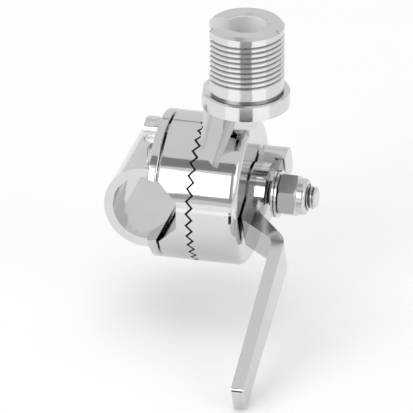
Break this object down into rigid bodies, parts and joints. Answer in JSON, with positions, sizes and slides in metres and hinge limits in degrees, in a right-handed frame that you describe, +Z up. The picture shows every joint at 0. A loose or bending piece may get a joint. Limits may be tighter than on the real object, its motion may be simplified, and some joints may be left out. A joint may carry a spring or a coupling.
{
  "type": "boat antenna mount",
  "caption": "Rail-clamp antenna mount: a toothed tilt joint locked by a lever carries a threaded stud with a cable bore and slot.",
  "frame": {"origin": "on the centre line of the clamped rail, level with the pivot bolt's axis", "axes": "+Y runs along the rail, +X runs along the pivot bolt towards its nut, +Z is up and is the stud's axis"},
  "size_m": [0.0675, 0.1078, 0.1013],
  "materials": {
    "polished_stainless": "mirror-polished cast stainless steel",
    "fastener_stainless": "bright machined stainless steel",
    "nylon_ring": "natural nylon"
  },
  "bodies": {
    "rail_clamp": {"rail_base": "polished_stainless", "clamp_cap": "polished_stainless", "pivot_bolt": "fastener_stainless", "lock_nut": "fastener_stainless", "inner_retaining_washer": "fastener_stainless", "outer_retaining_washer": "fastener_stainless", "upper_clamp_screw": "fastener_stainless", "lower_clamp_screw": "fastener_stainless", "upper_lock_washer": "fastener_stainless", "lower_lock_washer": "fastener_stainless", "nut_insert": "nylon_ring"},
    "washer": {"thrust_washer": "fastener_stainless"},
    "tilting_stud": {"tilt_drum": "polished_stainless", "antenna_stud": "polished_stainless"},
    "lever": {"clamp_lever": "polished_stainless"}
  },
  "joints": [
    {"name": "release", "type": "slide", "parent": "rail_clamp", "child": "washer", "axis": [1, 0, 0], "range_m": [0, 0.00167]},
    {"name": "tilt", "type": "hinge", "parent": "washer", "child": "tilting_stud", "pos_m": [0.0234, 0, 0], "axis": [1, 0, 0], "continuous": true},
    {"name": "lever_turn", "type": "hinge", "parent": "washer", "child": "lever", "pos_m": [0.035, 0, 0], "axis": [1, 0, 0], "range_deg": [0, 480]}
  ],
  "couplings": [
    {"joint": "lever_turn", "follows": "release", "rad_per_m": 5026.5}
  ]
}
